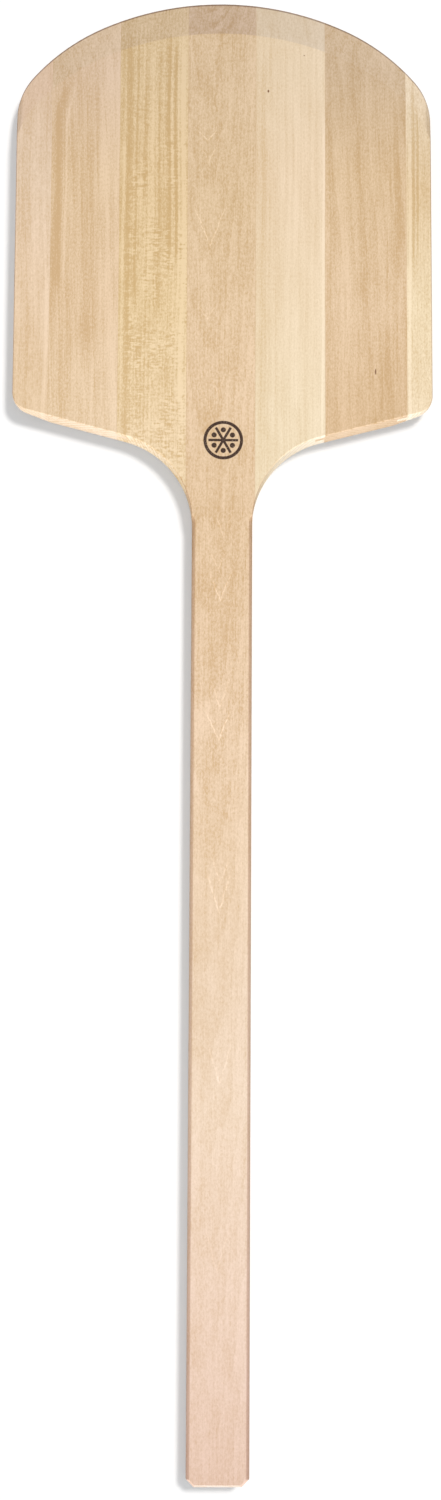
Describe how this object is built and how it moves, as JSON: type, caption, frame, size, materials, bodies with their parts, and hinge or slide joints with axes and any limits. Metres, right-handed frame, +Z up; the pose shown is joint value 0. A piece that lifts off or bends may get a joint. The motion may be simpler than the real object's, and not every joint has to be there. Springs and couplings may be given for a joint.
{
  "type": "pizza peel",
  "caption": "Long-handled flat wooden peel with a rounded, thinned front edge, for sliding pizza or bread into and out of an oven.",
  "frame": {"origin": "middle of the peel's length and width, on the plane of its underside", "axes": "+Y along the handle towards the front of the blade, +X to the right seen from above, +Z up out of the blade's upper face"},
  "size_m": [0.3048, 1.0668, 0.019],
  "materials": {
    "left_outer_wood": "sanded bare light hardwood, pinkish tan",
    "left_middle_wood": "sanded bare light hardwood, tan with a darker streak",
    "left_inner_wood": "sanded bare light hardwood, olive yellow with curly figure",
    "handle_wood": "sanded bare light hardwood, pinkish tan with cathedral grain",
    "right_inner_wood": "sanded bare light hardwood, cream",
    "right_middle_wood": "sanded bare light hardwood, pinkish brown",
    "right_outer_wood": "sanded bare light hardwood, cream yellow",
    "cured_glue": "thin film of cured wood glue, pale brown"
  },
  "bodies": {
    "root": {"left_outer_stave": "left_outer_wood", "left_middle_stave": "left_middle_wood", "left_inner_stave": "left_inner_wood", "handle_stave": "handle_wood", "right_inner_stave": "right_inner_wood", "right_middle_stave": "right_middle_wood", "right_outer_stave": "right_outer_wood", "glue_line_1": "cured_glue", "glue_line_2": "cured_glue", "glue_line_3": "cured_glue", "glue_line_4": "cured_glue", "glue_line_5": "cured_glue", "glue_line_6": "cured_glue"}
  },
  "joints": []
}
